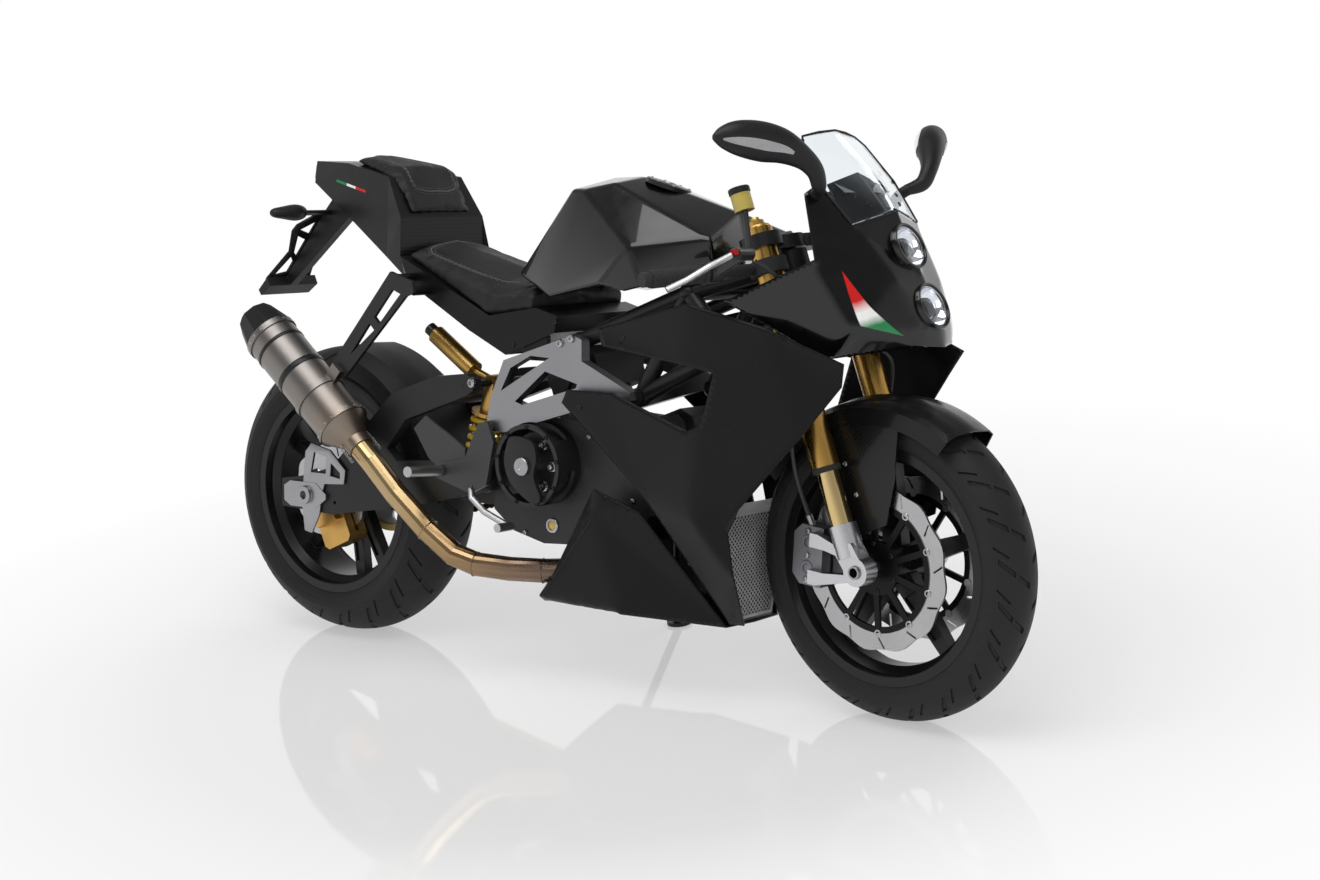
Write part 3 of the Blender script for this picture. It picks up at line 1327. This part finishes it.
# Fork and bars, in the fork's frame
FORK_CAP = [
    (24.5, 666), (24.5, 671), (23, 673), (17, 673), (16, 674), (16, 682), (14.5, 683.5), (9, 683.5), (9, 688),
    (7.5, 690), (1, 690),
]
DUST_SEAL = [(21.8, 193), (25.5, 193), (27.5, 196), (27.5, 203.4), (21.8, 203.4)]
LEG = (-14, -105)
BAR_START, BAR_END, GRIP = (-14, -105, 592), (-75, -366, 607), 122
HOSE_RIGHT = (
    (24, -184, 598), (40, -160, 565), (42, -146, 515), (32, -152, 445), (8, -152, 380), (-32, -146, 300),
    (-70, -126, 220), (-94, -98, 150), (-101, -84, 108),
)
HOSE_LEFT = (
    (34, -30, 418), (36, 20, 412), (34, 84, 402), (20, 132, 380), (-4, 150, 345), (-36, 146, 292), (-70, 126, 220),
    (-94, 98, 150), (-101, 84, 108),
)
UNION = ((-98, -91, 130), (-101, -84, 106))
STEM_NUT = [(19, 653), (19, 661), (17, 663), (11, 663), (11, 660), (2, 660)]
KNOB, KNOB_AT, KNOB_WAY = [(4, -8), (6.5, -7), (6.5, 5), (5, 6.5), (1, 6.5)], (44, -256, 612), (1, -0.2, 0.1)
CUP_CAP, CUP_AT = [(19.6, -1), (20.6, 0), (20.6, 9), (19, 11), (4, 11.5)], (36, -186, 724.5)


def make_fork_details():
    def legs(name, parts, mat, **how):
        piece(name, both_sides(parts, FORK), mat, "steering", **how)

    at = FORK @ shift(*LEG, 0)
    legs("fork_caps", [moved(lathe(FORK_CAP, 36), at)], "gold_part", sharp=40.0)
    legs("dust_seals", [moved(ring(DUST_SEAL, 48), at)], "grip", sharp=40.0)
    start, end = fork(*BAR_START), fork(*BAR_END)
    way = (end - start).normalized()
    ribs = [moved(hoop(0.0166, 0.0009, 32, 6), facing(end - way * (0.006 + 0.0062 * k), way)) for k in range(18)]
    ribs.append(moved(hoop(0.0175, 0.0028, 32), facing(end - way * (GRIP - 2) * MM, way)))
    legs("grip_ribs", ribs, "grip")
    legs("lever_adjusters", [moved(lathe(KNOB, 14), facing(fork(*KNOB_AT), turned(KNOB_WAY)))], "red")
    hoses = [swept(smooth_path([fork(*p) for p in path], 8), 0.0042, 10) for path in (HOSE_RIGHT, HOSE_LEFT)]
    piece("brake_hoses", joined(hoses), "hose", "steering")
    legs("hose_unions", [swept([fork(*p) for p in UNION], 0.0062, 12)], "silver")
    nut = moved(lathe(STEM_NUT, 6), FORK @ Matrix.Translation((-AXIS_BACK, 0, 0)))
    piece("stem_nut", nut, "silver", "steering", smooth=False)
    up = FORK.to_3x3() @ Vector((0, 0, 1))
    legs("reservoir_caps", [moved(lathe(CUP_CAP, 32), facing(fork(*CUP_AT), up))], "plastic")


def radial_places(hub, y, radius, count, start=0.0):
    """Places round a hub on the face at Y, outward along Y's sign."""
    way = hub.to_3x3() @ Vector((0, math.copysign(1, y), 0))
    turns = [math.radians(start) + math.tau * k / count for k in range(count)]
    return [(hub @ Vector((radius * math.cos(a), y, radius * math.sin(a))), way) for a in turns]


# Calipers in the fork's frame: centre, direction along the disc, and outer face
CALIPER = ((-126, 58.7), (0.4226, 0.906), 94.0)


CALIPER_PISTONS, CALIPER_SCREWS = (-25, 25), (-47, 0, 47)
# Faces of the discs' carriers
DISC_Y, REAR_DISC_Y = 0.0647, -0.0826


def make_wheel_details():
    sides = (-DISC_Y, DISC_Y)
    button = lathe([(7.4, -7), (7.4, 0.6), (6.6, 1.4), (4.0, 1.4), (3.6, 0.4), (1, 0.4)], 20)
    bobbins = [place for y in sides for place in radial_places(FORK, y, 0.1237, 10)]
    piece("disc_bobbins", put(button, bobbins), "steel", "front_wheel", sharp=40.0)
    bolts = [place for y in sides for place in radial_places(FORK, y, 0.045, 6, 15)]
    screws("disc_screws", bolts, (0.0055, 0.0035), "black_bolt", "front_wheel")
    rear = radial_places(REAR_HUB, REAR_DISC_Y, 0.042, 5, 30)
    screws("rear_disc_screws", rear, (0.006, 0.0035), "black_bolt", "rear_wheel")
    (x, z), (tx, tz), out = CALIPER
    way = FORK.to_3x3() @ Vector((0, -1, 0))

    def along_disc(steps):
        return [(fork(x + k * tx, -out, z + k * tz), way) for k in steps]

    cap = ring([(15, -1), (15, 1.2), (13.6, 2.4), (10, 2.4), (9, 1.4), (9, -1)], 32)
    core = lathe([(9, -1), (9, 0.6), (7, 1.2), (1, 1.2)], 24)
    caps = put(joined([cap, core]), along_disc(CALIPER_PISTONS))
    piece("caliper_caps", both_sides([caps], FORK), "caliper", "steering", sharp=40.0)
    heads = put(screw(0.0062, 0.005), along_disc(CALIPER_SCREWS))
    piece("caliper_screws", both_sides([heads], FORK), "steel", "steering")


# Clutch: X and Z of its centre, faces of the ring, the springs, the first plate, the guard and the hub's cap
CLUTCH = (-47, 439)
CLUTCH_RING_Y, CLUTCH_BOLT_Y, SPRING_Y, CLUTCH_PLATE_Y = -0.184, -0.1663, -0.1655, -0.1195
GUARD_Y, CLUTCH_CAP_Y = -184.6, -0.2005
CLUTCH_CAP = [(18.2, -44), (18.2, 1.2), (17, 2.4), (7, 2.4), (6, 1.2), (1, 1.2)]
# Outline of the guard over the clutch, as shares of the ring's radius
CLUTCH_GUARD = (
    (-0.36, 0.70), (0.24, 0.62), (0.40, 0.24), (0.32, -0.24), (0.52, -0.74), (0.24, -0.86), (-0.36, -0.48),
    (-0.60, 0.00), (-0.54, 0.44),
)

# Sight glass of the oil: X and Z, and its sections; then screws of the engine case
SIGHT = (-37, 311)
SIGHT_RIM = [(9.5, -1), (15.5, -1), (15.5, 2.6), (14.2, 3.8), (10.5, 3.8), (9.5, 2.6)]
SIGHT_PANE = [(9.6, -1), (9.6, 1.6), (8.6, 2.2), (0.6, 2.4)]
CASE_SCREWS = (
    (-180, 300), (-160, 380), (-110, 290), (30, 290), (90, 300), (140, 330), (170, 380), (120, 470), (60, 500),
    (-20, 535),
)


def looped(loop, steps):
    """Closed smooth outline through points."""
    flat = [(x, y, 0) for x, y in loop]
    path = smooth_path(flat[-2:] + flat + flat[:2], steps)
    return [(p.x, p.y) for p in path[2 * steps:(2 + len(loop)) * steps]]


def make_engine_details():
    hub = BIKE @ shift(CLUTCH[0], 0, CLUTCH[1])
    way = turned((0, -1, 0))
    screws("clutch_screws", radial_places(hub, CLUTCH_RING_Y, 0.0795, 9, 10), (0.0048, 0.0036), "black_bolt")
    screws("clutch_bolts", radial_places(hub, CLUTCH_BOLT_Y, 0.048, 6), (0.0062, 0.004), "steel")
    coil = hoop(0.0092, 0.0012, 20, 6)
    coils = [(p - n * 0.0028 * (k + 0.4), n) for p, n in radial_places(hub, SPRING_Y, 0.048, 6) for k in range(4)]
    piece("clutch_springs", put(coil, coils), "steel")
    plates = [(hub @ Vector((0, CLUTCH_PLATE_Y - 0.0042 * k, 0)), way) for k in range(9)]
    piece("clutch_plates", put(hoop(0.0646, 0.0011, 64, 6), plates), "engine")
    kidney = looped(shared(CLUTCH_GUARD, (0, 0), (84, 84)), 6)
    guard = moved(plate([kidney], 10), plane((CLUTCH[0], GUARD_Y, CLUTCH[1]), (1, 0, 0), (0, 0, 1)))
    eased(piece("clutch_guard", guard, "black_metal"), 2.0, 3)
    cap = moved(lathe(CLUTCH_CAP, 40), facing(hub @ Vector((0, CLUTCH_CAP_Y, 0)), way))
    piece("clutch_cap", cap, "silver", sharp=40.0)
    sight = on_side("engine_case", (SIGHT,), (-1,))
    piece("sight_rim", put(ring(SIGHT_RIM, 36), sight), "steel", sharp=40.0)
    piece("sight_pane", put(lathe(SIGHT_PANE, 32), sight), "yellow_fluid")
    screws("case_screws", on_side("engine_case", CASE_SCREWS), (0.0058, 0.005), "steel")


# Screws on both sides: piece, node, radius and height, finish, pixels of the photograph
BOLTS = (
    ("fairing_screws", "side_fairings", (0.0052, 0.0026), "black_bolt",
     ((622.7, 338.2), (579.4, 407.6), (581.4, 561.6), (669.6, 546.3), (688.6, 571.8))),
    ("plate_bolts", "frame_plates", (0.0085, 0.006), "steel", ((560.4, 343.3), (571.6, 338.6), (490.4, 425.5))),
    ("tail_screws", "tail_unit", (0.0056, 0.003), "black_bolt", ((512.9, 344.7), (555, 322))),
    ("arm_bolts", "swingarm", (0.011, 0.006), "steel", ((472, 383), (481.5, 476))),
)
FENDER_SCREWS = ((844.9, 463.9), (856.3, 494.7))


def make_bolts():
    for name, node, size, mat, pixels in BOLTS:
        screws(name, on_both(node, pixels), size, mat)
    screws("fender_screws", on_both("front_fender", FENDER_SCREWS, FORK), (0.0056, 0.003), "steel", "steering")


# Tank cap: X on the centre line, sections of its rim and lid, radius and height of its screws
TANK_CAP_X, CAP_SCREW_R, CAP_SCREW_Z = 170, 0.0425, 0.003
TANK_RIM = [(38, -6), (47, -6), (47, 1.5), (45, 3), (40, 3), (38, 2)]
TANK_LID = [(37.6, -6), (37.6, 2.4), (35, 4.2), (14, 5), (13, 6.4), (1, 6.4)]


def make_tank_cap():
    m = facing(*draped(NODES["fuel_tank"], ((TANK_CAP_X, 0),), 0.0)[0])
    piece("tank_rim", moved(ring(TANK_RIM, 48), m), "black_metal", sharp=40.0)
    piece("tank_lid", moved(lathe(TANK_LID, 48), m), "silver", sharp=40.0)
    up = m.to_3x3() @ Vector((0, 0, 1))
    spots = [(m @ Vector((CAP_SCREW_R * c, CAP_SCREW_R * s, CAP_SCREW_Z)), up) for c, s in circle(8)]
    screws("tank_screws", spots, (0.003, 0.0022), "steel")


# Instruments: place and tilt of the dial's face, sections of its rim and face
DASH = ((598, 962), 35.0)
DIAL_RIM = [(34, 13), (38.5, 13), (38.5, 18), (37, 19.6), (35.2, 19), (34, 17.5)]
DIAL_FACE = [(34.2, 13), (34.2, 16), (30, 16.3), (2, 16.4)]
# Marks of the dial: count, start and sweep in degrees, outer radius, height; every fourth is long
MARKS, MARK_START, MARK_SWEEP, MARK_R, MARK_Z = 25, -210, 240, 31, 0.0164
MARK_LONG, MARK_SHORT = 6, 3.5


def make_dash():
    (x, z), tilt = DASH
    face = BIKE @ shift(x, 0, z) @ Matrix.Rotation(math.radians(tilt - 90), 4, "Y")
    marks = []
    for k in range(MARKS):
        a = math.radians(MARK_START + MARK_SWEEP * k / (MARKS - 1))
        ends = (MARK_R - (MARK_SHORT if k % 4 else MARK_LONG), MARK_R)
        marks.append(swept([(r * MM * math.cos(a), r * MM * math.sin(a), MARK_Z) for r in ends], 0.0005, 5))
    marks.append(swept([(0, 0, 0.0172), (-0.014, -0.020, 0.0172)], [0.0012, 0.0004], 6))
    piece("dial_rim", moved(ring(DIAL_RIM, 48), face), "black_metal", sharp=40.0)
    piece("dial_face", moved(lathe(DIAL_FACE, 48), face), "plastic")
    piece("dial_marks", moved(joined(marks), face), "steel")


# Dash hood under the screen: corners of its right half
HOOD_T = 0.004
HOOD_STAY = ((598, 0, 962), (641, 0, 985))
HOOD = ((688, 0, 938), (664, -96, 914), (606, -92, 1004), (612, 0, 1026))

# Tank cover: points of the right half and its facets
TANK = (
    (-20, 0, 1000), (-12, -82, 993), (40, 0, 1016), (26, -92, 992), (103, -92, 1006), (110, 0, 1018), (342, 0, 950),
    (375, -140, 903), (210, -180, 884), (-125, -118, 818), (-125, 0, 830), (-7, -164, 777.5), (140, -186, 808),
    (198, -186, 796.5), (245, -186, 808), (380, -132, 852.5), (360, 0, 865), (-20, 0, 800), (200, 0, 817.5),
)
TANK_FACES = (
    (2, 3, 1, 0), (5, 4, 3, 2), (6, 7, 4, 5), (4, 7, 8, 3), (0, 1, 9, 10), (3, 11, 9, 1), (8, 12, 11, 3),
    (14, 13, 12, 8), (7, 15, 14, 8), (6, 16, 15, 7), (11, 17, 10, 9), (12, 18, 17, 11), (13, 18, 12), (14, 18, 13),
    (15, 16, 18, 14),
)
# Feet of the tank: X, half distance, foot, top and radius
TANK_FEET = (310, 40, 813, 870, 17)


def two_halves(points, faces):
    """Facets of the right half with their images, sharing the points on the centre line."""
    verts = [bike(*p) for p in points]
    other = []
    for k, (x, y, z) in enumerate(points):
        other.append(k if y == 0 else len(verts))
        if y:
            verts.append(bike(x, -y, z))
    return verts, list(faces) + [tuple(other[k] for k in reversed(f)) for f in faces]


def make_tank():
    cover = eased(piece("fuel_tank_cover", two_halves(TANK, TANK_FACES), "gloss"), 9.0, 4)
    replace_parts(cover, "fuel_tank")
    x, y, low, top, r = TANK_FEET
    foot = moved(lathe([(r - 1, 0), (r, 1), (r, top - low)], 32), BIKE @ shift(x, -y, low))
    piece("fuel_tank_feet", both_sides([foot]), "gloss")
    verts, faces = two_halves(HOOD, ((0, 1, 2, 3),))
    up = (verts[1] - verts[0]).cross(verts[3] - verts[0]).normalized() * HOOD_T
    n = len(verts)
    shell = faces + [tuple(k + n for k in reversed(f)) for f in faces]
    rim = (0, 1, 2, 3, 5, 4)
    shell += [(a, b, b + n, a + n) for a, b in zip(rim, rim[1:] + rim[:1])]
    eased(piece("dash_hood", (verts + [v + up for v in verts], shell), "plastic"), 1.5)
    piece("dash_hood_stay", swept([bike(*p) for p in HOOD_STAY], 0.007, 12), "black_metal")


# Rear plates: caliper hanger by the axle, and the lattice of the number plate's bracket, as shares of their sizes
HANGER_AT, HANGER_SIZE, HANGER_Y, HANGER_T = (-726.5, 236), (136, 200), -150.7, 6
HANGER = (
    ((0, 0.34), (0.1, 0.9), (0.24, 1), (0.66, 0.94), (1, 0.74), (0.96, 0.58), (0.52, 0.56), (0.44, 0.4), (0.4, 0.22),
     (0.22, 0), (0.06, 0.02)),
    ((0.22, 0.68), (0.3, 0.9), (0.58, 0.86), (0.56, 0.68)),
    ((0.66, 0.66), (0.68, 0.8), (0.88, 0.7), (0.88, 0.64)),
)
LATTICE_TOP, LATTICE_END, LATTICE_SIZE, LATTICE_T = (-800, 930), (-944, 760), (72, 222), 5
LATTICE = ((0.4, 0), (0.95, 0.14), (1, 0.22), (0.62, 0.5), (0.92, 0.86), (0.8, 1))
LATTICE_WINDOWS = (
    ((0.2, 0.08), (0.74, 0.2), (0.2, 0.26)),
    ((0.2, 0.34), (0.66, 0.28), (0.42, 0.5), (0.2, 0.56)),
    ((0.2, 0.64), (0.44, 0.56), (0.72, 0.82), (0.2, 0.78)),
    ((0.2, 0.86), (0.66, 0.88), (0.6, 0.95), (0.2, 0.94)),
)


def make_rear_plates():
    loops = [shared(loop, HANGER_AT, HANGER_SIZE) for loop in HANGER]
    hanger = moved(plate(loops, HANGER_T), plane((0, HANGER_Y, 0), (1, 0, 0), (0, 0, 1)))
    eased(piece("caliper_hanger", hanger, "silver"), 1.2)
    half = shared(LATTICE, (0, 0), LATTICE_SIZE)
    loops = [half + [(-u, v) for u, v in reversed(half)]]
    for window in LATTICE_WINDOWS:
        right = shared(window, (0, 0), LATTICE_SIZE)
        loops += [right, [(-u, v) for u, v in reversed(right)]]
    (x0, z0), (x1, z1) = LATTICE_TOP, LATTICE_END
    sheet = moved(plate(loops, LATTICE_T), plane((x0, 0, z0), (0, 1, 0), (x1 - x0, 0, z1 - z0)))
    eased(piece("licence_lattice", sheet, "plastic"), 0.8)


# Tyres: name, node, hub, radius, width, radius of the crown, width of the rim, repeats and shear of the tread, body
TYRES = (
    ("front_tyre_tread", "front_tyre", FORK, FRONT_R, 0.120, 0.064, 0.104, 22, 0.22, "front_wheel"),
    ("rear_tyre_tread", "rear_tyre", REAR_HUB, REAR_R, 0.190, 0.105, 0.166, 20, 0.28, "rear_wheel"),
)
# Panels: node, finish, cell of the mesh in millimetres, rounds of smoothing, and bend above which a rim is held
PANELS = (
    ("side_fairings", "carbon", 14.0, 10, 50.0),
    ("belly_pan", "carbon", 14.0, 10, 50.0),
    ("nose_fairing", "nose", 10.0, 8, 58.0),
    ("windscreen", "screen", 10.0, 14, 50.0),
)


def make_pieces():
    for values in TYRES:
        make_tyre(*values)
    rider = make_seat("rider_pad", "rider_seat", (0.98, 1.06, 1.0))
    pillion = make_seat("pillion_pad", "pillion_seat", (0.985, 1.06, 1.0))
    make_seams(rider, RIDER_SEAM, "rider")
    make_seams(pillion, PILLION_SEAM, "pillion")
    for node, *values in PANELS:
        soft_panel(node + "_skin", node, *values)
    make_headlamps()
    make_mirrors()
    make_rear_lamps()
    make_screen()
    make_radiator()
    make_exhaust()
    make_fork_details()
    make_wheel_details()
    make_engine_details()
    make_bolts()
    make_tank_cap()
    make_dash()
    make_tank()
    make_rear_plates()


make_camera()
make_stage()
make_lights()
dress_nodes()
make_pieces()
SCENE.view_settings.view_transform = "Standard"
